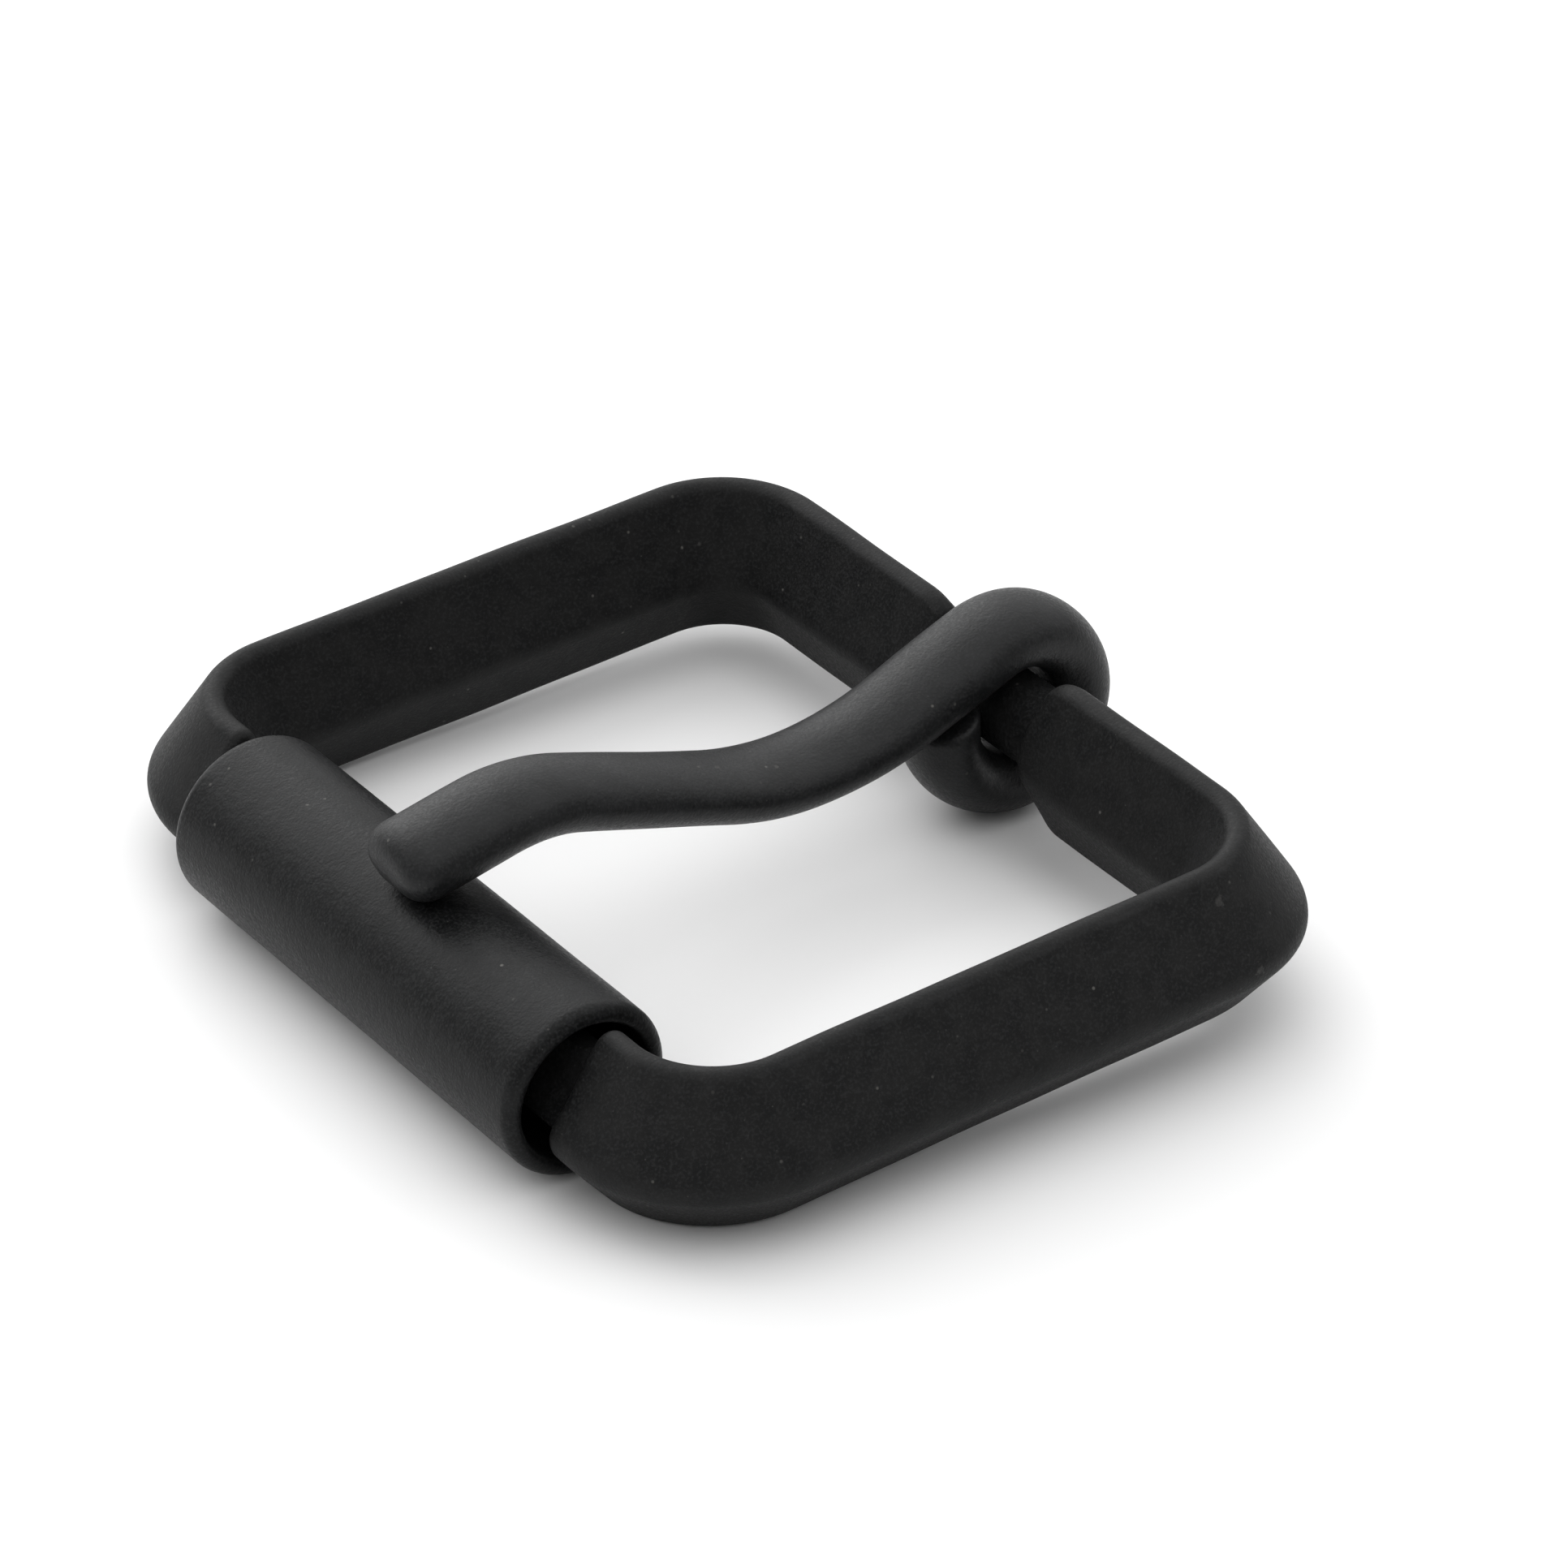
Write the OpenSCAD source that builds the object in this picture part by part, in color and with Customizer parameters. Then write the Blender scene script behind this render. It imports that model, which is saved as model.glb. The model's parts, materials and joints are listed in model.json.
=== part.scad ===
// Roller buckle for a 30 mm belt: a cast frame, a loose roller and a single prong.
// The buckle is drawn level, with X along the belt towards the roller and Y across it,
// and is then leaned over onto the prong's curl, as it lies on a table.

/* [Frame] */
// Clear width between the two side rails, which the strap passes through
inner_w = 30.4; // [28:0.1:36]
// Distance between the heel ridge and the front ridge
frame_l = 27.3; // [25:0.1:34]
// Height of the frame from its foot to its ridge
frame_h = 6.5; // [6.2:0.1:7.5]
// Reach of the rail inwards from its ridge, at the inner crease
rail_in = 2; // [1.8:0.1:2.4]
// Reach of the rail outwards from its ridge, at the outer crease
rail_out = 2.5; // [2:0.1:2.8]
// Reach of the rail's foot inwards from the ridge
foot_in = 1.1; // [0.8:0.1:1.6]
// Reach of the rail's foot outwards from the ridge
foot_out = 0.9; // [0.8:0.1:1.6]
// Height of the creases above the foot
crease_z = 2.7; // [2.2:0.1:3]
// Radius of the ridge along the top of the rail
ridge_r = 0.6; // [0.35:0.05:0.8]
// Corner radius of the ridge line at the heel
heel_corner_r = 4.1; // [3:0.1:5]
// Corner radius of the ridge line at the front
front_corner_r = 3.9; // [3.4:0.1:4]
// How far the front corners swell outwards to carry the roller bar
front_swell = 0.3; // [0:0.1:0.6]
// How far the outer flank swells round the heel corners
heel_swell = 0.25; // [0:0.05:0.4]
// Length over which the heel bar's soft shoulders round down to the neck
heel_shoulder_l = 1.6; // [0.6:0.1:1.8]
// Radius of the shoulders at the ends of the roller
front_shoulder_r = 0.45; // [0.3:0.05:0.6]

/* [Roller] */
// Outer diameter of the roller
roller_d = 7.1; // [6.8:0.1:7.2]
// Length of the roller
roller_l = 22.7; // [16:0.1:23]
// Thickness of the sheet that the roller is bent from
roller_wall = 0.75; // [0.6:0.05:0.8]
// Radius of the rolled lips at the roller's ends
lip_r = 0.5; // [0.3:0.05:0.55]
// Width of the butt seam along the roller
seam_w = 0.15; // [0.1:0.05:0.3]
// Radial play between the roller and its bar
roller_play = 1; // [0.3:0.05:1.1]
// Height of the roller's axis above the frame's foot
roller_z = 3.6; // [3.6:0.05:3.8]
// How far the roller's axis is outside the front ridge
roller_out = 0.6; // [0.3:0.1:0.7]
// Play between the roller's ends and the frame's shoulders
roller_gap = 0.4; // [0.3:0.1:1]
// Where the loose roller has slid to along its bar
roller_shift = 0.3; // [-0.3:0.1:0.3]

/* [Prong] */
// Diameter of the neck on the heel bar that the prong turns on
neck_d = 3.3; // [3:0.1:3.4]
// How far the neck's axis is behind the heel ridge
neck_back = 0.15; // [0:0.05:0.2]
// Radial clearance of the curl on the neck
curl_play = 0.25; // [0.1:0.05:0.4]
// Thickness of the prong at its curl and at its tip
prong_t = 2.7; // [2.4:0.1:2.9]
// Thickness of the prong half way along
waist_t = 2.3; // [2:0.1:2.7]
// Width of the prong
prong_w = 4.2; // [3.6:0.1:4.6]
// Width of the gap in the heel bar that the curl sits in
recess_w = 6.6; // [6:0.1:8]
// Angle round the neck at which the curl's tail ends
tail_angle = 364; // [340:1:365]
// Where the loose curl has slid to along its neck
curl_shift = -0.1; // [-0.5:0.1:0.5]
// Where the prong's dip is bent, along X
dip_x = -3.9; // [-5:0.1:-2]
// Height of the dip's bend before it is rounded
dip_z = 3.8; // [3.4:0.1:4.6]
// Radius of the dip
dip_r = 14; // [8:0.5:15]
// How far behind the roller's axis the prong's hump is bent
hump_back = 4.8; // [3.8:0.1:5.6]
// Radius of the hump
hump_r = 8; // [3:0.5:9]
// Angle at which the prong falls from its hump over the roller
tip_fall = 6.3; // [3:0.1:8]
// How far the prong's tip reaches past the roller's axis
tip_over = 0.5; // [0.3:0.1:1.2]
// Where the prong's tip lies across the roller
tip_shift = 1.4; // [-1.5:0.1:1.5]

/* [Hidden] */
$fn = 96;

coat = "#2b2d2f";
roller_coat = "#34363a";
prong_coat = "#3a3d40";

// Frame, in the level frame of the drawing: its centre line is the ridge line
heel_x = -frame_l / 2;
front_x = frame_l / 2;
side_y = inner_w / 2 + rail_in;
crease_r = 1;
foot_r = 0.5;
front_shoulder_y = roller_l / 2 + roller_gap + abs(roller_shift);
recess_y = recess_w / 2;
root_depth = 0.8;
bar_inset = 0.6;
corner_steps = 12;

// Roller and its bar
roller_x = front_x + roller_out;
roller_r = roller_d / 2;
bore_r = roller_r - roller_wall;
bar_r = bore_r - roller_play;

// Prong: the neck lies at the height where the rail is as wide as the neck
neck_r = neck_d / 2;
neck_core_r = 0.75 * neck_r;
neck_x = heel_x - neck_back;
neck_z = 3.5;
curl_bore_r = neck_r + curl_play;
curl_r = curl_bore_r + prong_t / 2;
curl_outer_r = curl_bore_r + prong_t;
tip_rest = 0.06;
tip_round = 1.2;
seat_inset = 0.03;
seat_turn = 6;
dip_steps = 14;
hump_steps = 10;
straight_steps = 4;

// Centre line of the prong as [x, z]: the corners of its bends, and the tip
dip = [dip_x, dip_z];
hump_x = roller_x - hump_back;
tip_lift = (roller_r + tip_rest + prong_t / 2) / cos(tip_fall);
hump = [hump_x, roller_z + tip_lift + hump_back * tan(tip_fall)];
tip = hump + (hump_back + tip_over) * [1, -tan(tip_fall)];

// The shank leaves the curl's circle at the point where it runs straight to the dip
neck = [neck_x, neck_z];
curl_start = atan2(dip[1] - neck[1], dip[0] - neck[0]) + acos(curl_r / norm(dip - neck));

// The buckle leans until the curl's underside and the frame's front foot both touch the table
foot_x = front_x + foot_out + front_swell - foot_r / 2;
foot_run = foot_x - neck_x;
lean = asin(curl_outer_r / norm([foot_run, neck_z])) - atan2(neck_z, foot_run);
table_z = -(foot_x * sin(lean));

// Extent along X once it leans, which puts the origin at the middle of the base
back_x = neck_x * cos(lean) + neck_z * sin(lean) - curl_outer_r;
fore_x = roller_x * cos(lean) + roller_z * sin(lean) + roller_r;
origin_x = (back_x + fore_x) / 2;

// Leans the level drawing and stands it on z = 0, centred over the origin
module lay_down() {
    translate([-origin_x, 0, -table_z]) rotate([0, lean, 0]) children();
}

// Points of an arc from angle a0 to a1, both included
function arc(centre, r, a0, a1, steps) =
    [for (i = [0 : steps]) let (a = a0 + (a1 - a0) * i / steps) centre + r * [cos(a), sin(a)]];

// Angle of the normal to the line that touches two circles on their left side
function touch(c1, r1, c2, r2) =
    atan2(c2[1] - c1[1], c2[0] - c1[0]) + acos((r1 - r2) / norm(c2 - c1));

// One flank of the rail's section, from the ridge down to the foot
function rail_flank(reach, foot_reach) =
    let (
        ridge = [0, frame_h - ridge_r],
        crease = [reach - crease_r, crease_z],
        foot = [foot_reach - foot_r, foot_r],
        wall = touch(ridge, ridge_r, crease, crease_r),
        under = touch(crease, crease_r, foot, foot_r)
    )
    concat(
        arc(ridge, ridge_r, 90, wall, 4),
        arc(crease, crease_r, wall, under, 5),
        arc(foot, foot_r, under, -90, 3)
    );

// Whole section: the outer flank, which swells at the corners, and the inner flank mirrored
function rail_section(swell) =
    let (
        outer = rail_flank(rail_out + swell, foot_out + swell),
        inner = rail_flank(rail_in, foot_in),
        last = len(inner) - 1
    )
    concat(outer, [for (i = [last : -1 : 1]) [-inner[i][0], inner[i][1]]]);

// The section drawn in towards the bar's axis at hub, by a share of depth and no deeper than core
function drawn_in(section, share, hub, depth, core) =
    [for (p = section)
        let (r = norm(p - hub))
        hub + (p - hub) * (1 - share * min(depth, r - core) / r)];

// A station of the rail's run: [x, y, angle of the outward normal, swell, share, hub, depth, core].
// The swell of the outer flank is mid halfway round the corner and end where the corner ends
function corner_stations(centre, r, a0, a1, mid, end) =
    [for (i = [0 : corner_steps])
        let (t = i / corner_steps, a = a0 + (a1 - a0) * t, ease = t * t * (3 - 2 * t))
        [centre[0] + r * cos(a), centre[1] + r * sin(a), a,
            end * ease + (mid - end / 2) * pow(sin(180 * t), 2), 0, [0, neck_z], 0, 0]];

// Stations that round a shoulder over along the length l, from its face back along the rail
function shoulder_stations(x, y, a, swell, l, hub, depth, core) =
    [for (turn = [0 : 22.5 : 90])
        [x, y + l * (1 - cos(turn)), a, swell, 1 - sin(turn), hub, depth, core]];

function reversed(list) = [for (i = [len(list) - 1 : -1 : 0]) list[i]];

// The run of one half of the frame, from the heel's shoulder round to the front shoulder
half_run = concat(
    shoulder_stations(heel_x, recess_y, 180, 0, heel_shoulder_l, [neck_back, neck_z], frame_h,
        neck_core_r),
    corner_stations([heel_x + heel_corner_r, side_y - heel_corner_r], heel_corner_r, 180, 90,
        heel_swell, 0),
    corner_stations([front_x - front_corner_r, side_y - front_corner_r], front_corner_r,
        90, 0, front_swell / 2, front_swell),
    reversed(shoulder_stations(front_x, front_shoulder_y, 0, front_swell, front_shoulder_r,
        [roller_out, roller_z], front_shoulder_r, 0))
);

function rail_ring(s) =
    [for (p = drawn_in(rail_section(s[3]), s[4], s[5], s[6], s[7]))
        [s[0] + p[0] * cos(s[2]), s[1] + p[0] * sin(s[2]), p[1]]];

// A closed skin over a list of rings with the same number of points each
module skin(rings) {
    count = len(rings[0]);
    last = len(rings) - 1;
    sides = [for (i = [0 : last - 1]) for (j = [0 : count - 1])
        let (k = (j + 1) % count)
        each [
            [i * count + j, i * count + k, (i + 1) * count + k],
            [i * count + j, (i + 1) * count + k, (i + 1) * count + j]
        ]];
    start_cap = [for (j = [count - 1 : -1 : 0]) j];
    end_cap = [for (j = [0 : count - 1]) last * count + j];
    polyhedron([for (ring = rings) each ring], concat([start_cap, end_cap], sides), 10);
}

// A round bar along Y between two heights of y
module bar_y(r, y0, y1) {
    translate([0, y0, 0]) rotate([-90, 0, 0]) cylinder(r = r, h = y1 - y0);
}

module half_frame() {
    skin([for (s = half_run) rail_ring(s)]);
}

// The bar inside the roller: round, but held inside the rail's own flanks
module roller_bar() {
    bar_half = front_shoulder_y + root_depth;
    flanks = drawn_in(rail_section(front_swell), 1, [roller_out, roller_z], bar_inset, 0);
    intersection() {
        translate([front_x, bar_half, 0]) rotate([90, 0, 0])
            linear_extrude(2 * bar_half) polygon(flanks);
        translate([roller_x, 0, roller_z]) bar_y(bar_r, -bar_half - 1, bar_half + 1);
    }
}

module frame() {
    neck_half = recess_y + heel_shoulder_l + root_depth;
    color(coat) lay_down() union() {
        half_frame();
        mirror([0, 1, 0]) half_frame();
        roller_bar();
        translate([neck_x, 0, neck_z]) bar_y(neck_r, -neck_half, neck_half);
    }
}

// Half-section of the roller's wall, with its lips rolled over at both ends
function roller_wall_outline() =
    let (half = roller_l / 2, inner_lip = roller_wall - lip_r)
    concat(
        arc([roller_r - lip_r, -half + lip_r], lip_r, -90, 0, 6),
        arc([roller_r - lip_r, half - lip_r], lip_r, 0, 90, 6),
        arc([bore_r + inner_lip, half - inner_lip], inner_lip, 90, 180, 4),
        arc([bore_r + inner_lip, -half + inner_lip], inner_lip, 180, 270, 4)
    );

module roller() {
    color(roller_coat) lay_down() translate([roller_x, roller_shift, roller_z]) difference() {
        rotate([-90, 0, 0]) rotate_extrude() polygon(roller_wall_outline());
        translate([-seam_w / 2, -roller_l / 2 - 1, -roller_r - 1])
            cube([seam_w, roller_l + 2, roller_r]);
    }
}

// The prong's section: [height above the neck, place across it]. It is an oval rod whose inner
// side is pressed flat where it bears on the neck
function prong_section(w, t, inset) =
    let (
        oval_w = w / 2 - inset,
        oval_t = t / 2 - inset,
        press = 1.12,
        flat_a = asin(1 / press)
    )
    [for (p = concat(
            arc([0, 0], 1, 0, 180, 14),
            [for (q = arc([0, 0], 1, 195, 180 + flat_a, 3)) [q[0], q[1] * press]],
            [for (q = arc([0, 0], 1, 360 - flat_a, 345, 3)) [q[0], q[1] * press]]))
        [t / 2 + oval_t * p[1], oval_w * p[0]]];

// The curl round the neck, open where its tail stops short of the shank
module curl() {
    rotate([-90, 0, 0]) rotate([0, 0, -tail_angle]) rotate_extrude(angle = tail_angle - curl_start)
        polygon([for (p = prong_section(prong_w, prong_t, 0)) [curl_bore_r + p[0], p[1]]]);
}

function curl_point(a) = neck + curl_r * [cos(a), sin(a)];

// The arc of radius r that rounds the path a, b, c at b
function bend(a, b, c, r, steps) =
    let (
        back = (a - b) / norm(a - b),
        ahead = (c - b) / norm(c - b),
        half = acos(back * ahead) / 2,
        centre = b + (back + ahead) / norm(back + ahead) * r / sin(half),
        start = b + back * r / tan(half) - centre,
        a0 = atan2(start[1], start[0]),
        turn = (180 - 2 * half) * sign(ahead[0] * back[1] - ahead[1] * back[0])
    )
    arc(centre, r, a0, a0 + turn, steps);

// Points strictly between a and b
function between(a, b) = [for (i = [1 : straight_steps - 1]) a + (b - a) * i / straight_steps];

dip_arc = bend(curl_point(curl_start), dip, hump, dip_r, dip_steps);
hump_arc = bend(dip, hump, tip, hump_r, hump_steps);
shank_line = concat(
    [curl_point(curl_start + seat_turn), curl_point(curl_start)],
    dip_arc,
    between(dip_arc[dip_steps], hump_arc[0]),
    hump_arc,
    between(hump_arc[hump_steps], tip),
    [tip]
);
shank_last = len(shank_line) - 1;
shank_run = tip[0] - shank_line[0][0];

// A ring of the shank's section across its centre line, drawn in by inset
function shank_ring(i, along, inset) =
    let (
        at = shank_line[i],
        ahead = shank_line[min(i + 1, shank_last)] - shank_line[max(i - 1, 0)],
        run = ahead / norm(ahead),
        part = (at[0] - shank_line[0][0]) / shank_run,
        t = prong_t - (prong_t - waist_t) * pow(sin(180 * part), 2),
        y = curl_shift + (tip_shift - curl_shift) * part
    )
    [for (p = reversed(prong_section(prong_w, t, inset)))
        let (up = p[0] - t / 2)
        [at[0] + run[0] * along - run[1] * up, y + p[1], at[1] + run[1] * along + run[0] * up]];

module shank() {
    skin(concat(
        [for (i = [0 : shank_last - 1]) shank_ring(i, 0, seat_inset)],
        [for (turn = [0 : 15 : 75])
            shank_ring(shank_last, tip_round * sin(turn), tip_round * (1 - cos(turn)) + seat_inset)]
    ));
}

module prong() {
    color(prong_coat) lay_down() union() {
        translate([neck_x, curl_shift, neck_z]) curl();
        shank();
    }
}

frame();
roller();
prong();
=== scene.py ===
"""Roller buckle for a 30 mm belt: smooth meshes, coatings, light and camera around the CAD frame.

Shapes are drawn in millimetres in the buckle's own level frame, with X along the belt and Y
across it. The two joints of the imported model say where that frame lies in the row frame.
"""

import json
import math

import bpy
from mathutils import Matrix, Vector


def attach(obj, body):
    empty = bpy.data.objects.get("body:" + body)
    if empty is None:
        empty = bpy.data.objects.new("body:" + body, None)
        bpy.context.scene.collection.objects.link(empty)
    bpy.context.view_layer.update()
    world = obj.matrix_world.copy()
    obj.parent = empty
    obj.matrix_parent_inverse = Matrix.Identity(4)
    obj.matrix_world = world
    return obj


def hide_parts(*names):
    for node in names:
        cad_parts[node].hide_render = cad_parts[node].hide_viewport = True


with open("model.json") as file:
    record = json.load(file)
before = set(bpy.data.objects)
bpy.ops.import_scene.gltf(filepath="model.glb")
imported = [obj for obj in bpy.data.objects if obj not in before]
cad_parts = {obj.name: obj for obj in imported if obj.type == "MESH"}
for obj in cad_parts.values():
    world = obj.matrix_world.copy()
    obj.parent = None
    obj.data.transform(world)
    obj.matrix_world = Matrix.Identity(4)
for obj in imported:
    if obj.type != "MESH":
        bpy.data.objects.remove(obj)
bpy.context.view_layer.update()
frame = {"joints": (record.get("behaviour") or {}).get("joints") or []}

MM = 0.001

# ---------------------------------------------------------------- driving dimensions, in mm
# Frame: clear width between its side rails, length from ridge to ridge, and height
INNER_W, FRAME_L, FRAME_H = 30.4, 27.3, 6.5
# How far the rail's creases and its foot reach inwards and outwards from its ridge
RAIL_IN, RAIL_OUT = 2.0, 2.5
FOOT_IN, FOOT_OUT = 1.1, 0.9
CREASE_Z, CREASE_R = 2.7, 1.0
RIDGE_R, FOOT_R = 0.6, 0.5
# Corners of the ridge line, and how far the outer flank swells round them
HEEL_CORNER_R, FRONT_CORNER_R = 4.1, 3.9
HEEL_SWELL, FRONT_SWELL = 0.25, 0.3
# Shoulders: half the gap in the heel bar, and how the rail's ends are rounded at both bars
RECESS_Y = 3.3
HEEL_EDGE_L, FRONT_EDGE_R, ROOT_R, SHOULDER_FLAT = 1.6, 0.45, 0.3, 0.06

# Roller: a bent sheet with rounded lips and a butt seam
ROLLER_R, ROLLER_L, ROLLER_WALL = 3.55, 22.7, 0.75
LIP_R, INNER_LIP_R = 0.5, 0.25
SEAM_W, SEAM_EDGE_R = 0.15, 0.12
LIP_STEPS, INNER_LIP_STEPS, ROLLER_LENGTH_STEPS, ROLLER_TURN_STEPS = 10, 8, 60, 180
# Its axis lies outside the front ridge, and it has slid along its bar
ROLLER_OUT, ROLLER_Z = 0.6, 3.6
ROLLER_GAP, ROLLER_SHIFT = 0.4, 0.3
# Radius of the roller's bar, and how far the bar and the neck stay inside the rail's surface
BAR_R, BAR_INSET, NECK_INSET = 1.8, 0.6, 0.15

# Prong: the neck that it turns on, and the play of its curl
NECK_R, NECK_Z, NECK_BACK, CURL_PLAY = 1.65, 3.5, 0.15, 0.25
# Thickness at its curl and tip, thickness half way along, and width
PRONG_T, WAIST_T, PRONG_W = 2.7, 2.3, 4.2
# The rod's section has PRONG_SIDES points, and its inner side is pressed flat
PRONG_SIDES, PRONG_PRESS = 64, 1.12
# Where the curl's tail ends in degrees round the neck, and how far its end slants
TAIL_ANGLE, TAIL_SLANT = 361.0, 0.8
# Where the curl and the tip lie across the buckle
CURL_SHIFT, TIP_SHIFT = -0.1, 1.4
# Bends of the shank: the dip, the hump, and the fall in degrees from there to the tip
DIP_X, DIP_Z, DIP_R = -3.9, 3.8, 14.0
HUMP_BACK, HUMP_R = 4.8, 8.0
TIP_FALL, TIP_OVER = 6.3, 0.5
# Gap between the tip and the roller, and how the tip and the tail are rounded
TIP_REST, TIP_ROUND, TAIL_ROUND = 0.06, 1.2, 0.35

HEEL_X, FRONT_X = -FRAME_L / 2, FRAME_L / 2
SIDE_Y = INNER_W / 2 + RAIL_IN
FRONT_SHOULDER_Y = ROLLER_L / 2 + ROLLER_GAP + abs(ROLLER_SHIFT)
ROLLER_X = FRONT_X + ROLLER_OUT
NECK_X = HEEL_X - NECK_BACK
CURL_R = NECK_R + CURL_PLAY + PRONG_T / 2

# ---------------------------------------------------------------- the level frame in the row frame
joints = {joint["name"]: joint for joint in frame["joints"]}
HINGE = Vector(joints["prong_hinge"]["pos_m"])
SPIN = Vector(joints["roller_spin"]["pos_m"])


def slope(dx, dz):
    """Angle of a line above the X axis."""
    return math.atan2(dz, dx)


LEAN = slope(ROLLER_X - NECK_X, ROLLER_Z - NECK_Z) - slope(SPIN.x - HINGE.x, SPIN.z - HINGE.z)
LAY_DOWN = (
    Matrix.Translation(HINGE)
    @ Matrix.Rotation(LEAN, 4, "Y")
    @ Matrix.Diagonal((MM, MM, MM, 1.0))
    @ Matrix.Translation((-NECK_X, 0, -NECK_Z))
)


# ---------------------------------------------------------------- outlines
def arc(centre, r, a0, a1, steps):
    """Points of an arc from angle a0 to a1 in degrees, both included."""
    turns = [math.radians(a0 + (a1 - a0) * i / steps) for i in range(steps + 1)]
    return [(centre[0] + r * math.cos(a), centre[1] + r * math.sin(a)) for a in turns]


def quarter_turn(step):
    """Angles in radians from 0 to 90 degrees, a step in degrees apart."""
    return [math.radians(t) for t in range(0, 91, step)]


def touch(c1, r1, c2, r2):
    """Angle of the normal to the line that touches two circles on their left side."""
    dx, dy = c2[0] - c1[0], c2[1] - c1[1]
    return math.degrees(math.atan2(dy, dx) + math.acos((r1 - r2) / math.hypot(dx, dy)))


def between(a, b, steps):
    """Points strictly between a and b."""
    shares = [i / steps for i in range(1, steps)]
    return [(a[0] + (b[0] - a[0]) * t, a[1] + (b[1] - a[1]) * t) for t in shares]


def rail_flank(reach, foot_reach):
    """One flank of the rail's section, from the ridge down to the foot."""
    ridge = (0.0, FRAME_H - RIDGE_R)
    crease = (reach - CREASE_R, CREASE_Z)
    foot = (foot_reach - FOOT_R, FOOT_R)
    wall = touch(ridge, RIDGE_R, crease, CREASE_R)
    under = touch(crease, CREASE_R, foot, FOOT_R)
    top = arc(ridge, RIDGE_R, 90, wall, 10)
    middle = arc(crease, CREASE_R, wall, under, 14)
    low = arc(foot, FOOT_R, under, -90, 8)
    return top + between(top[-1], middle[0], 12) + middle + between(middle[-1], low[0], 8) + low


def rail_section(swell):
    """The whole section: the outer flank, which swells at the front, then the inner one."""
    outer = rail_flank(RAIL_OUT + swell, FOOT_OUT + swell)
    inner = [(-x, z) for x, z in rail_flank(RAIL_IN, FOOT_IN)]
    return outer + between(outer[-1], inner[-1], 6) + inner[:0:-1]


def smooth(t):
    """Rises from 0 to 1 as t does, level at both ends."""
    return t * t * (3 - 2 * t)


# ---------------------------------------------------------------- mesh building
# How far each piece's surface swells and how long its swells are, in mm
FRAME_UNEVEN, ROLLER_UNEVEN, PRONG_UNEVEN = (0.03, 1.3), (0.02, 1.5), (0.03, 1.2)
# Waves that together make a surface uneven: the direction and length of each, and its phase
SWELLS = [((0.9, 0.5, 0.4), 0.4), ((-0.5, 1.1, 0.6), 1.9), ((0.4, -0.8, 1.3), 3.3),
          ((1.4, 0.3, -0.6), 5.0), ((0.7, 1.5, -0.9), 2.4)]


def skin(rings, closed):
    """Faces between rings of equally many points; the last ring meets the first if closed."""
    count = len(rings[0])
    faces = []
    for i in range(len(rings) if closed else len(rings) - 1):
        after = (i + 1) % len(rings)
        for j in range(count):
            k = (j + 1) % count
            faces.append((i * count + j, i * count + k, after * count + k, after * count + j))
    return faces


def make_piece(name, points, faces, material):
    """A smooth mesh object from level points, laid down in the row frame."""
    mesh = bpy.data.meshes.new(name)
    mesh.from_pydata([LAY_DOWN @ Vector(p) for p in points], [], faces)
    mesh.update()
    mesh.shade_smooth()
    mesh.materials.append(material)
    piece = bpy.data.objects.new(name, mesh)
    bpy.context.scene.collection.objects.link(piece)
    return piece


def unevenness(at):
    """A smooth swell between -1 and 1 with no direction of its own."""
    return sum(math.sin(at.dot(Vector(wave)) + phase) for wave, phase in SWELLS) / len(SWELLS)


def make_uneven(piece, amount, length):
    """Moves every point a little along its normal, as a casting or a forming tool leaves it."""
    mesh = piece.data
    moves = [v.normal * (unevenness(v.co / (length * MM)) * amount * MM) for v in mesh.vertices]
    for vertex, move in zip(mesh.vertices, moves):
        vertex.co += move
    mesh.update()


# ---------------------------------------------------------------- frame
def rail_ring(x, y, normal, swell):
    """The rail's section standing across its run, whose outward normal is at an angle."""
    a = math.radians(normal)
    return [(x + p[0] * math.cos(a), y + p[0] * math.sin(a), p[1]) for p in rail_section(swell)]


def spokes(section, centre, core_r, inset):
    """For each point of the section: its direction from centre, and the rail's and core's radius."""
    out = []
    for px, pz in section:
        dx, dz = px - centre[0], pz - centre[1]
        rail_r = math.hypot(dx, dz)
        out.append((dx / rail_r, dz / rail_r, rail_r, min(core_r, rail_r - inset)))
    return out


def shoulder_rings(section, x, centre, core_r, inset, face_y, edge_l, edge_r, outward):
    """Rings that step from a round core up to the rail, with the root and the edge rounded.

    The core runs along Y through centre, given from the ridge line; outward is 1 or -1 and says
    whether the section's outer side faces +X or -X. The edge is an elliptic round, edge_l long
    along the rail and up to edge_r high.
    """
    profile = []
    for ux, uz, rail_r, core in spokes(section, centre, core_r, inset):
        step = rail_r - core
        root = min(ROOT_R, step / 3)
        edge = min(edge_r, step - root - SHOULDER_FLAT)
        path = [(face_y - root + root * math.sin(t), core + root * (1 - math.cos(t)))
                for t in quarter_turn(15)]
        path += [(face_y, core + root + (step - edge - root) * t / 3) for t in range(1, 3)]
        path += [(face_y + edge_l * (1 - math.cos(t)), rail_r - edge * (1 - math.sin(t)))
                 for t in quarter_turn(6)]
        profile.append((ux, uz, path))
    return [
        [(x + outward * (centre[0] + ux * path[i][1]), path[i][0], centre[1] + uz * path[i][1])
         for ux, uz, path in profile]
        for i in range(len(profile[0][2]))
    ]


def core_ring(section, x, centre, core_r, inset, outward):
    """The round core alone, where it crosses the buckle's middle."""
    return [(x + outward * (centre[0] + ux * core), 0.0, centre[1] + uz * core)
            for ux, uz, rail_r, core in spokes(section, centre, core_r, inset)]


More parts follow.
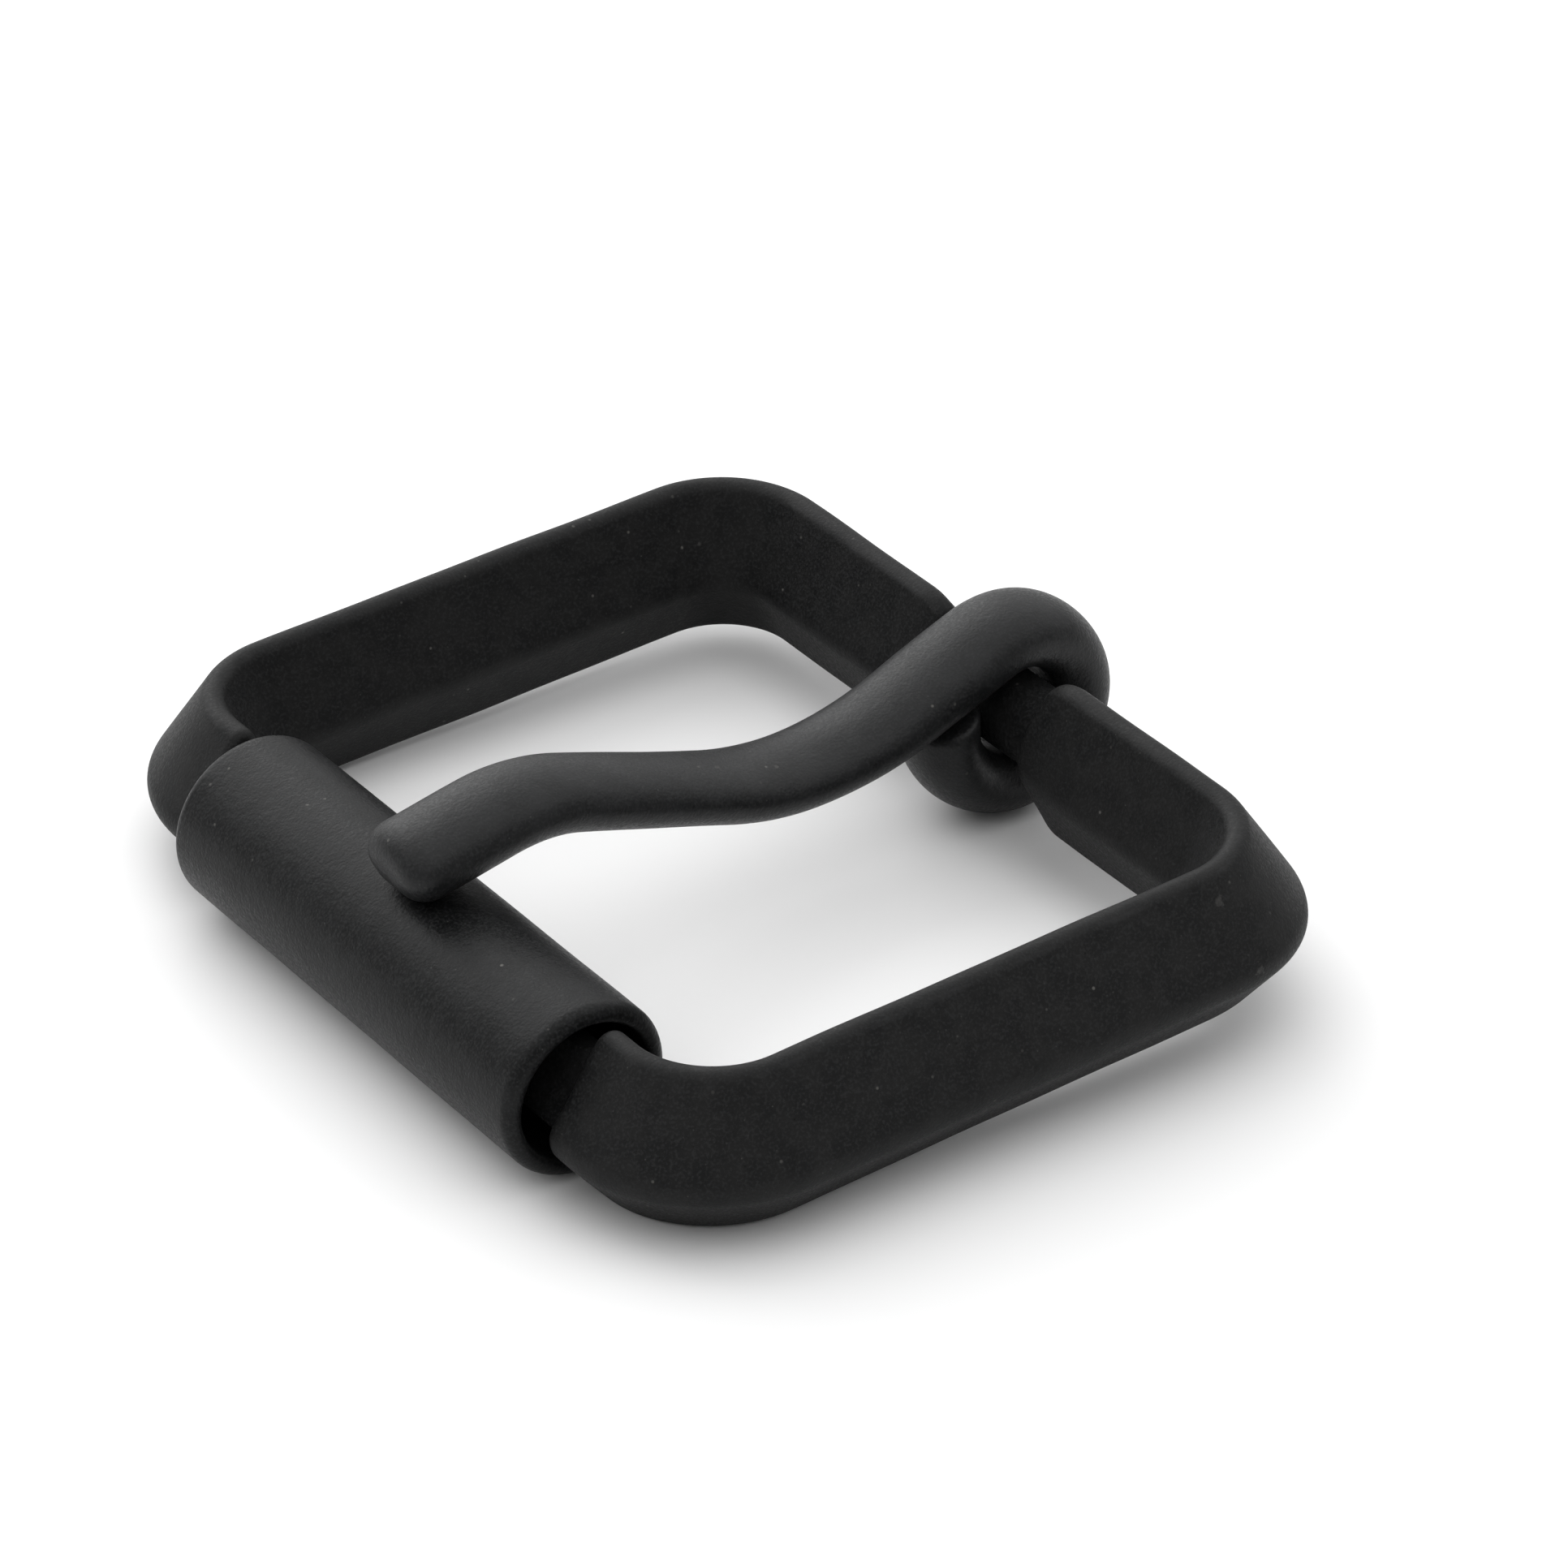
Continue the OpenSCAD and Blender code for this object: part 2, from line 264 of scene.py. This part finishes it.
def corner_rings(centre, r, a0, a1, middle, end, steps=36):
    """Rings round a corner, whose outer flank swells by middle half way round and by end at a1."""
    rings = []
    for i in range(steps + 1):
        t = i / steps
        a = a0 + (a1 - a0) * t
        turn = math.radians(a)
        swell = end * smooth(t) + (middle - end / 2) * math.sin(math.pi * t) ** 2
        rings.append(rail_ring(centre[0] + r * math.cos(turn), centre[1] + r * math.sin(turn), a, swell))
    return rings


def blend_rings(a, b, steps):
    """Rings strictly between two rings."""
    return [
        [tuple(p + (q - p) * i / steps for p, q in zip(u, v)) for u, v in zip(a, b)]
        for i in range(1, steps)
    ]


def half_frame_rings():
    """Rings of one half of the loop, from the middle of the neck to the middle of the bar."""
    heel, front = rail_section(0.0), rail_section(FRONT_SWELL)
    neck, bar = (NECK_BACK, NECK_Z), (ROLLER_OUT, ROLLER_Z)
    neck_start = core_ring(heel, HEEL_X, neck, NECK_R, NECK_INSET, -1)
    # The heel's edge is as high as its step allows, which is always less than the frame's height
    heel_shoulder = shoulder_rings(heel, HEEL_X, neck, NECK_R, NECK_INSET, RECESS_Y,
                                   HEEL_EDGE_L, FRAME_H, -1)
    heel_corner = corner_rings((HEEL_X + HEEL_CORNER_R, SIDE_Y - HEEL_CORNER_R), HEEL_CORNER_R,
                               180, 90, HEEL_SWELL, 0)
    front_corner = corner_rings((FRONT_X - FRONT_CORNER_R, SIDE_Y - FRONT_CORNER_R), FRONT_CORNER_R,
                                90, 0, FRONT_SWELL / 2, FRONT_SWELL)
    front_shoulder = shoulder_rings(front, FRONT_X, bar, BAR_R, BAR_INSET, FRONT_SHOULDER_Y,
                                    FRONT_EDGE_R, FRONT_EDGE_R, 1)
    front_shoulder.reverse()
    bar_end = core_ring(front, FRONT_X, bar, BAR_R, BAR_INSET, 1)
    # Each stretch, and the steps that blend it into the next one
    stretches = [([neck_start], 8), (heel_shoulder, 18), (heel_corner, 40), (front_corner, 2),
                 (front_shoulder, 20), ([bar_end], 0)]
    rings = []
    for i, (stretch, steps) in enumerate(stretches):
        rings += stretch
        if i + 1 < len(stretches):
            rings += blend_rings(stretch[-1], stretches[i + 1][0][0], steps)
    return rings


def build_frame(material):
    """The whole casting as one closed loop: neck, heel, side rails, front corners and bar."""
    half = half_frame_rings()
    mirrored = [[(x, -y, z) for x, y, z in ring] for ring in reversed(half[1:-1])]
    rings = half + mirrored
    points = [p for ring in rings for p in ring]
    faces = [tuple(reversed(face)) for face in skin(rings, True)]
    piece = make_piece("cast_frame", points, faces, material)
    make_uneven(piece, *FRAME_UNEVEN)
    return piece


# ---------------------------------------------------------------- roller
def roller_wall_outline(inset):
    """Section of the roller's wall as (radius, place along the roller), drawn in by inset."""
    half, bore = ROLLER_L / 2, ROLLER_R - ROLLER_WALL
    lip, inner = LIP_R - inset, INNER_LIP_R - inset
    outer_end = arc((ROLLER_R - LIP_R, half - LIP_R), lip, 90, 0, LIP_STEPS)
    inner_end = arc((bore + INNER_LIP_R, half - INNER_LIP_R), inner, 180, 90, INNER_LIP_STEPS)
    end = inner_end + outer_end[1:]
    back = [(r, -y) for r, y in reversed(end)]
    outer_side = between(end[-1], back[0], ROLLER_LENGTH_STEPS)
    bore_side = between(back[-1], end[0], ROLLER_LENGTH_STEPS)
    return end + outer_side + back + bore_side


def build_roller(material):
    """A bent sheet tube with rolled lips and an open butt seam along its underside."""
    half_gap = math.degrees(SEAM_W / 2 / ROLLER_R)
    edge_turn = math.degrees(SEAM_EDGE_R / ROLLER_R)
    seam_edge = [(half_gap + edge_turn * (1 - math.cos(t)), SEAM_EDGE_R * (1 - math.sin(t)))
                 for t in quarter_turn(30)]
    body_turn = 360 - 2 * half_gap - 2 * edge_turn
    body = [(half_gap + edge_turn + body_turn * i / ROLLER_TURN_STEPS, 0.0)
            for i in range(1, ROLLER_TURN_STEPS)]
    turns = seam_edge + body + [(360 - a, inset) for a, inset in reversed(seam_edge)]
    rings = []
    for turn, inset in turns:
        a = math.radians(turn - 90)
        rings.append([(ROLLER_X + r * math.cos(a), ROLLER_SHIFT + y, ROLLER_Z + r * math.sin(a))
                      for r, y in roller_wall_outline(inset)])
    points = [p for ring in rings for p in ring]
    faces = [tuple(reversed(face)) for face in skin(rings, False)]
    count = len(rings[0])
    faces += ladder(count, 0, False) + ladder(count, (len(rings) - 1) * count, True)
    piece = make_piece("bent_roller", points, faces, material)
    make_uneven(piece, *ROLLER_UNEVEN)
    return piece


def ladder(count, first, flip):
    """Faces that close the roller wall's ring by joining its bore side to its outer side."""
    middle = (LIP_STEPS + INNER_LIP_STEPS) // 2
    pairs = [(first + (middle - i) % count, first + middle + 1 + i) for i in range(count // 2)]
    faces = []
    for (a, b), (c, d) in zip(pairs, pairs[1:]):
        faces.append((a, c, d, b) if flip else (a, b, d, c))
    return faces


# ---------------------------------------------------------------- prong
def prong_section(w, t, inset):
    """The oval rod with its inner side pressed flat: (height above the neck, place across)."""
    oval_w, oval_t = w / 2 - inset, t / 2 - inset
    section = []
    for i in range(PRONG_SIDES):
        a = 2 * math.pi * i / PRONG_SIDES
        high = math.sin(a)
        if high < 0:
            high = max(-1.0, high * (1 + (PRONG_PRESS - 1) * min(1.0, -high * PRONG_PRESS)))
        section.append((t / 2 + oval_t * high, oval_w * math.cos(a)))
    return section


def curl_point(angle):
    """Point of the curl's centre line at an angle in degrees round the neck."""
    a = math.radians(angle)
    return Vector((NECK_X + CURL_R * math.cos(a), NECK_Z + CURL_R * math.sin(a)))


def bend(a, b, c, r, steps):
    """The arc of radius r that rounds the path a, b, c at b."""
    back, ahead = (a - b).normalized(), (c - b).normalized()
    half = math.acos(back.dot(ahead)) / 2
    centre = b + (back + ahead).normalized() * r / math.sin(half)
    start = b + back * r / math.tan(half) - centre
    side = 1 if ahead.x * back.y > ahead.y * back.x else -1
    a0 = math.degrees(math.atan2(start.y, start.x))
    turn = side * (180 - 2 * math.degrees(half))
    return [Vector(p) for p in arc(centre, r, a0, a0 + turn, steps)]


def prong_line():
    """Centre line of the prong from the side: round the neck, then along the shank to its tip."""
    neck, dip = Vector((NECK_X, NECK_Z)), Vector((DIP_X, DIP_Z))
    fall = math.tan(math.radians(TIP_FALL))
    lift = (ROLLER_R + TIP_REST + PRONG_T / 2) / math.cos(math.radians(TIP_FALL))
    hump = Vector((ROLLER_X - HUMP_BACK, ROLLER_Z + lift + HUMP_BACK * fall))
    tip = hump + Vector((1, -fall)) * (HUMP_BACK + TIP_OVER)
    rise = dip - neck
    start = math.degrees(math.atan2(rise.y, rise.x) + math.acos(CURL_R / rise.length))
    turns = 96
    curl = [curl_point(TAIL_ANGLE + (start - TAIL_ANGLE) * i / turns) for i in range(turns)]
    first = curl_point(start)
    dip_arc = bend(first, dip, hump, DIP_R, 48)
    hump_arc = bend(dip, hump, tip, HUMP_R, 36)
    shank = [first] + points_between(first, dip_arc[0], 6) + dip_arc
    shank += points_between(dip_arc[-1], hump_arc[0], 16) + hump_arc
    return curl, shank + points_between(hump_arc[-1], tip, 16) + [tip]


def points_between(a, b, steps):
    """Vectors strictly between a and b."""
    return [Vector(p) for p in between(a, b, steps)]


def build_prong(material):
    """The prong as one rod: its curl round the neck, the dip, the hump and the rounded tip."""
    curl, shank = prong_line()
    line = curl + shank
    last = len(line) - 1
    run_length = shank[-1].x - shank[0].x
    rings = []

    def ring(i, along, inset, slant=0.0):
        """The section at a point of the line, moved along it, drawn in and slanted."""
        ahead = line[min(i + 1, last)] - line[max(i - 1, 0)]
        run = ahead.normalized()
        part = max(0.0, (line[i].x - shank[0].x) / run_length) if i >= len(curl) else 0.0
        t = PRONG_T - (PRONG_T - WAIST_T) * math.sin(math.pi * part) ** 2
        y = CURL_SHIFT + (TIP_SHIFT - CURL_SHIFT) * part
        out = []
        for high, across in prong_section(PRONG_W, t, inset):
            up = high - t / 2
            ahead_by = along - slant * (0.5 - up / t)
            out.append((line[i].x + run.x * ahead_by - run.y * up, y + across,
                        line[i].y + run.y * ahead_by + run.x * up))
        return out

    for t in range(90, -1, -15):
        cut = math.radians(t)
        rings.append(ring(0, -TAIL_ROUND * math.sin(cut), TAIL_ROUND * (1 - math.cos(cut)), TAIL_SLANT))
    rings += [ring(i, 0.0, 0.0) for i in range(1, last)]
    for t in range(0, 89, 8):
        cut = math.radians(t)
        rings.append(ring(last, TIP_ROUND * math.sin(cut), TIP_ROUND * (1 - math.cos(cut))))
    points = [p for one in rings for p in one]
    faces = skin(rings, False)
    count = len(rings[0])
    close_end(points, faces, 0, count, True)
    close_end(points, faces, (len(rings) - 1) * count, count, False)
    piece = make_piece("prong_rod", points, faces, material)
    make_uneven(piece, *PRONG_UNEVEN)
    return piece


def close_end(points, faces, first, count, flip):
    """Closes a round end with shrinking rings and a small fan in the middle."""
    outer = points[first:first + count]
    middle = Vector((0, 0, 0))
    for p in outer:
        middle += Vector(p) / count
    before = first
    for share in (0.8, 0.6, 0.4, 0.2):
        start = len(points)
        points += [tuple(middle + (Vector(p) - middle) * share) for p in outer]
        for j in range(count):
            k = (j + 1) % count
            face = (before + j, before + k, start + k, start + j)
            faces.append(face if not flip else tuple(reversed(face)))
        before = start
    points.append(tuple(middle))
    for j in range(count):
        face = (before + j, before + (j + 1) % count, len(points) - 1)
        faces.append(face if not flip else tuple(reversed(face)))


# ---------------------------------------------------------------- materials
# How many features of each texture there are to a millimetre
MOTTLE_PER_MM, GRAIN_PER_MM, PEEL_PER_MM, PATCH_PER_MM, NICK_AND_HIGHLIGHT_PER_MM = 0.9, 9.0, 3.0, 0.7, 4.0
# Parts of a noise's range that are stretched to the full range of what they drive
MOTTLE_SPAN, PATCH_SPAN, GRAIN_SPAN, GLOSS_SPAN = (0.40, 0.60), (0.38, 0.62), (0.48, 0.66), (0.35, 0.65)
NICK_AND_HIGHLIGHT_SPAN, NICK_AND_HIGHLIGHT_RAGGED = (0.3, 0.7), (0.3, 1.7)
BUMP_MM, GLOSS_CHANGE = 0.018, 0.10
# Wear: the pointiness at which it starts and is full, its strength, its least share between
# patches, how much smoother it is, and its colour
WORN_EDGE, WEAR, LEAST_WORN, POLISH = (0.525, 0.61), 0.22, 0.2, 0.12
RUBBED = (0.030, 0.030, 0.031)
SPECK_R = 0.11
# Dust and pinholes as (cells per mm, share of the cells with one, its colour)
DUST = [(1.3, 0.35, (0.11, 0.107, 0.10)), (2.6, 0.7, (0.04, 0.04, 0.039)),
        (2.2, 0.5, (0.0015, 0.0015, 0.0015))]
GRAIN_COLOUR, GRAIN_SHARE = (0.022, 0.0225, 0.023), 0.6
FLOOR_GREY, FLOOR_ROUGHNESS, FLOOR_SPECULAR = 0.86, 0.6, 0.3
# Bare nicks as (place in the row frame, radius), both in mm. The frame's second spot, on the outer
# crease by the heel corner, is no nick: it is a painted highlight, a pale spot where light glints on
# that crease.
# Pale colour of the bare nicks, also used for the painted highlight on the frame's crease
NICK_AND_HIGHLIGHT_COLOUR = (0.035, 0.034, 0.033)
FRAME_NICKS_AND_HIGHLIGHT = [((-9.4, 18.1, 6.5), 0.2), ((-10.4, 19.6, 3.9), 0.16), ((9.9, 18.4, 5.2), 0.1),
               ((-10.0, -15.7, 5.3), 0.12)]
PRONG_NICKS = [((1.3, 1.2, 7.4), 0.12), ((-1.3, 1.4, 6.6), 0.1)]
# Share of the radius over which a speck, a nick and the painted highlight are at full strength
SPECK_CORE, NICK_AND_HIGHLIGHT_CORE = 0.4, 0.5


def new_material(name):
    """A new material, with its nodes, its links and its shader."""
    material = bpy.data.materials.new(name)
    material.use_nodes = True
    nodes = material.node_tree.nodes
    return material, nodes, material.node_tree.links, nodes["Principled BSDF"]


def mapped(nodes, links, offset):
    """Object coordinates in millimetres, shifted so that no two pieces share a pattern."""
    coordinates = nodes.new("ShaderNodeTexCoord")
    scale = nodes.new("ShaderNodeMapping")
    scale.inputs["Scale"].default_value = (1 / MM, 1 / MM, 1 / MM)
    scale.inputs["Location"].default_value = offset
    links.new(coordinates.outputs["Object"], scale.inputs["Vector"])
    return scale.outputs["Vector"]


def add_noise(nodes, links, vector, scale, detail):
    """Soft noise between 0 and 1."""
    texture = nodes.new("ShaderNodeTexNoise")
    texture.inputs["Scale"].default_value = scale
    texture.inputs["Detail"].default_value = detail
    links.new(vector, texture.inputs["Vector"])
    return texture.outputs["Fac"]


def add_ramp(nodes, links, value, stops):
    """Colour that runs through stops, given as (place, colour)."""
    ramp = nodes.new("ShaderNodeValToRGB")
    elements = ramp.color_ramp.elements
    while len(elements) < len(stops):
        elements.new(0.5)
    for element, (place, colour) in zip(elements, stops):
        element.position = place
        element.color = (*colour, 1.0)
    links.new(value, ramp.inputs["Fac"])
    return ramp.outputs["Color"]


def add_range(nodes, links, value, low, high, to_low, to_high):
    """Value stretched from one range to another, and held at its ends."""
    node = nodes.new("ShaderNodeMapRange")
    node.inputs["From Min"].default_value = low
    node.inputs["From Max"].default_value = high
    node.inputs["To Min"].default_value = to_low
    node.inputs["To Max"].default_value = to_high
    links.new(value, node.inputs["Value"])
    return node.outputs["Result"]


def add_maths(nodes, links, operation, a, b):
    """Arithmetic on two values, either of which may be a plain number."""
    node = nodes.new("ShaderNodeMath")
    node.operation = operation
    for socket, value in zip(node.inputs, (a, b)):
        if isinstance(value, (int, float)):
            socket.default_value = value
        else:
            links.new(value, socket)
    return node.outputs["Value"]


def add_mix(nodes, links, share, below, above):
    """Colour below with some share of a fixed colour laid over it."""
    node = nodes.new("ShaderNodeMix")
    node.data_type = "RGBA"
    links.new(share, node.inputs["Factor"])
    links.new(below, node.inputs["A"])
    node.inputs["B"].default_value = (*above, 1.0)
    return node.outputs["Result"]


def add_specks(nodes, links, vector, cells_per_mm, share):
    """Round grains in some of the cells of a fine grid, each of its own strength."""
    cells = nodes.new("ShaderNodeTexVoronoi")
    cells.inputs["Scale"].default_value = cells_per_mm
    links.new(vector, cells.inputs["Vector"])
    near = add_range(nodes, links, cells.outputs["Distance"], SPECK_R, SPECK_R * SPECK_CORE, 0.0, 1.0)
    pick = nodes.new("ShaderNodeSeparateColor")
    links.new(cells.outputs["Color"], pick.inputs["Color"])
    chosen = add_range(nodes, links, pick.outputs["Red"], 1 - share, 1.0, 0.0, 1.0)
    return add_maths(nodes, links, "MULTIPLY", near, chosen)


def add_nicks_and_highlight(nodes, links, nicks_and_highlight):
    """Small ragged pale spots at given places: nicks where the coating is knocked off, and on the frame
    one painted highlight on a crease.
    """
    at = mapped(nodes, links, (0, 0, 0))
    edge = add_noise(nodes, links, at, NICK_AND_HIGHLIGHT_PER_MM, 2.0)
    ragged = add_range(nodes, links, edge, *NICK_AND_HIGHLIGHT_SPAN, *NICK_AND_HIGHLIGHT_RAGGED)
    share = 0.0
    for place, radius in nicks_and_highlight:
        away = nodes.new("ShaderNodeVectorMath")
        away.operation = "DISTANCE"
        away.inputs[1].default_value = place
        links.new(at, away.inputs[0])
        reach = add_maths(nodes, links, "MULTIPLY", away.outputs["Value"], ragged)
        spot = add_range(nodes, links, reach, radius, radius * NICK_AND_HIGHLIGHT_CORE, 0.0, 1.0)
        share = add_maths(nodes, links, "ADD", spot, share)
    return share


def coating(name, dark, light, specular, roughness, offset, nicks_and_highlight=()):
    """Matte black coating on metal: mottled, grained, rubbed on its ridges, dusty and nicked, with a
    painted highlight among the frame's nicks.
    """
    material, nodes, links, shader = new_material(name)
    at = mapped(nodes, links, offset)
    mottle = add_noise(nodes, links, at, MOTTLE_PER_MM, 4.0)
    coat = add_ramp(nodes, links, mottle, list(zip(MOTTLE_SPAN, (dark, light))))

    # Edges and ridges are rubbed a little paler, in patches
    geometry = nodes.new("ShaderNodeNewGeometry")
    edge = add_range(nodes, links, geometry.outputs["Pointiness"], *WORN_EDGE, 0.0, 1.0)
    patchy = add_noise(nodes, links, at, PATCH_PER_MM, 3.0)
    patches = add_range(nodes, links, patchy, *PATCH_SPAN, LEAST_WORN, 1.0)
    worn = add_maths(nodes, links, "MULTIPLY", edge, patches)
    worn = add_maths(nodes, links, "MULTIPLY", worn, WEAR)
    coat = add_mix(nodes, links, worn, coat, RUBBED)

    for cells_per_mm, share, colour in DUST:
        coat = add_mix(nodes, links, add_specks(nodes, links, at, cells_per_mm, share), coat, colour)
    # Pale nicks, and on the frame one painted highlight, are laid over the coat
    if nicks_and_highlight:
        coat = add_mix(nodes, links, add_nicks_and_highlight(nodes, links, nicks_and_highlight), coat, NICK_AND_HIGHLIGHT_COLOUR)
    grain = add_noise(nodes, links, at, GRAIN_PER_MM, 3.0)
    fine = add_range(nodes, links, grain, *GRAIN_SPAN, 0.0, GRAIN_SHARE)
    coat = add_mix(nodes, links, fine, coat, GRAIN_COLOUR)
    links.new(coat, shader.inputs["Base Color"])

    smoothest, roughest = roughness - GLOSS_CHANGE, roughness + GLOSS_CHANGE
    rough = add_range(nodes, links, grain, *GLOSS_SPAN, smoothest, roughest)
    polish = add_maths(nodes, links, "MULTIPLY", worn, -POLISH)
    rough = add_maths(nodes, links, "ADD", rough, polish)
    links.new(rough, shader.inputs["Roughness"])
    shader.inputs["Specular IOR Level"].default_value = specular

    peel = add_noise(nodes, links, at, PEEL_PER_MM, 2.0)
    height = add_maths(nodes, links, "ADD", grain, peel)
    bump = nodes.new("ShaderNodeBump")
    bump.inputs["Distance"].default_value = BUMP_MM * MM
    bump.inputs["Strength"].default_value = 1.0
    links.new(height, bump.inputs["Height"])
    links.new(bump.outputs["Normal"], shader.inputs["Normal"])
    return material


def floor_material():
    """A plain pale surface."""
    material, nodes, links, shader = new_material("pale_floor")
    shader.inputs["Base Color"].default_value = (FLOOR_GREY, FLOOR_GREY, FLOOR_GREY, 1.0)
    shader.inputs["Roughness"].default_value = FLOOR_ROUGHNESS
    shader.inputs["Specular IOR Level"].default_value = FLOOR_SPECULAR
    return material


# ---------------------------------------------------------------- stage, light and camera
def build_floor(half):
    """A square floor at z = 0 that is twice half metres wide."""
    mesh = bpy.data.meshes.new("floor")
    corners = [(-half, -half, 0), (half, -half, 0), (half, half, 0), (-half, half, 0)]
    mesh.from_pydata(corners, [], [(0, 1, 2, 3)])
    mesh.materials.append(floor_material())
    floor = bpy.data.objects.new("floor", mesh)
    bpy.context.scene.collection.objects.link(floor)


def facing(azimuth, elevation):
    """Direction from the buckle. Azimuth 0 lies along -Y and 90 along +X."""
    a, e = math.radians(azimuth), math.radians(elevation)
    return Vector((math.sin(a) * math.cos(e), -math.cos(a) * math.cos(e), math.sin(e)))


def add_softbox(name, azimuth, elevation, distance, size, radiance):
    """A square softbox that faces the buckle, given by how bright its surface is."""
    away = facing(azimuth, elevation)
    data = bpy.data.lights.new(name, "AREA")
    data.shape = "SQUARE"
    data.size = size
    data.energy = radiance * math.pi * size * size
    light = bpy.data.objects.new(name, data)
    light.location = away * distance
    light.rotation_mode = "QUATERNION"
    light.rotation_quaternion = away.to_track_quat("Z", "Y")
    bpy.context.scene.collection.objects.link(light)


def build_world(room, ceiling, azimuth, elevation, edge):
    """A dim white room under a broad bright ceiling, whose middle lies in a given direction."""
    world = bpy.data.worlds.new("studio")
    world.use_nodes = True
    nodes, links = world.node_tree.nodes, world.node_tree.links
    direction = nodes.new("ShaderNodeTexCoord").outputs["Generated"]
    across = nodes.new("ShaderNodeVectorMath")
    across.operation = "DOT_PRODUCT"
    across.inputs[1].default_value = facing(azimuth, elevation)
    links.new(direction, across.inputs[0])
    strength = add_range(nodes, links, across.outputs["Value"], edge[0], edge[1], room, ceiling)
    background = nodes["Background"]
    background.inputs["Color"].default_value = (1.0, 1.0, 1.0, 1.0)
    links.new(strength, background.inputs["Strength"])
    bpy.context.scene.world = world


def build_camera(azimuth, elevation, roll, distance, right_mm, up_mm, focal):
    """Camera round the base's centre. Azimuth 0 looks along +Y and 90 along -X."""
    a, r = math.radians(azimuth), math.radians(roll)
    back = facing(azimuth, elevation)
    right = Vector((math.cos(a), math.sin(a), 0.0))
    up = back.cross(right)
    right, up = math.cos(r) * right + math.sin(r) * up, math.cos(r) * up - math.sin(r) * right
    place = (back * distance + right * right_mm + up * up_mm) * MM
    data = bpy.data.cameras.new("photo_view")
    data.sensor_width = 36.0
    data.lens = focal * data.sensor_width
    data.clip_start, data.clip_end = 0.01, 20.0
    camera = bpy.data.objects.new("photo_view", data)
    turn = Matrix((right, up, back)).transposed().to_4x4()
    camera.matrix_world = Matrix.Translation(place) @ turn
    bpy.context.scene.collection.objects.link(camera)
    bpy.context.scene.camera = camera


# ---------------------------------------------------------------- the scene
build_camera(azimuth=142.914, elevation=32.269, roll=1.494, distance=260.95,
             right_mm=2.336, up_mm=4.703, focal=4.3033)
build_floor(half=3.0)
build_world(room=0.35, ceiling=1.45, azimuth=-22, elevation=72, edge=(0.3, 0.6))
add_softbox("side_softbox", azimuth=-1, elevation=36, distance=0.5, size=0.47, radiance=1.7)
bpy.context.scene.view_settings.view_transform = "Standard"
bpy.context.scene.view_settings.look = "None"

frame_coat = coating("frame_coating", dark=(0.0058, 0.0060, 0.0062), light=(0.0094, 0.0094, 0.0094),
                     specular=0.15, roughness=0.55, offset=(0, 0, 0), nicks_and_highlight=FRAME_NICKS_AND_HIGHLIGHT)
roller_coat = coating("roller_coating", dark=(0.0044, 0.0046, 0.0048), light=(0.0072, 0.0075, 0.0078),
                      specular=0.14, roughness=0.42, offset=(40, 7, 3))
prong_coat = coating("prong_coating", dark=(0.0072, 0.0075, 0.0079), light=(0.0114, 0.0118, 0.0124),
                     specular=0.22, roughness=0.44, offset=(90, 2, 8), nicks_and_highlight=PRONG_NICKS)

# Each body of the frame holds one CAD node, which has the body's name
for body, piece, slot in [
    ("frame", build_frame(frame_coat), "frame_coating"),
    ("roller", build_roller(roller_coat), "roller_coating"),
    ("prong", build_prong(prong_coat), "prong_coating"),
]:
    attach(piece, body)
    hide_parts(body)
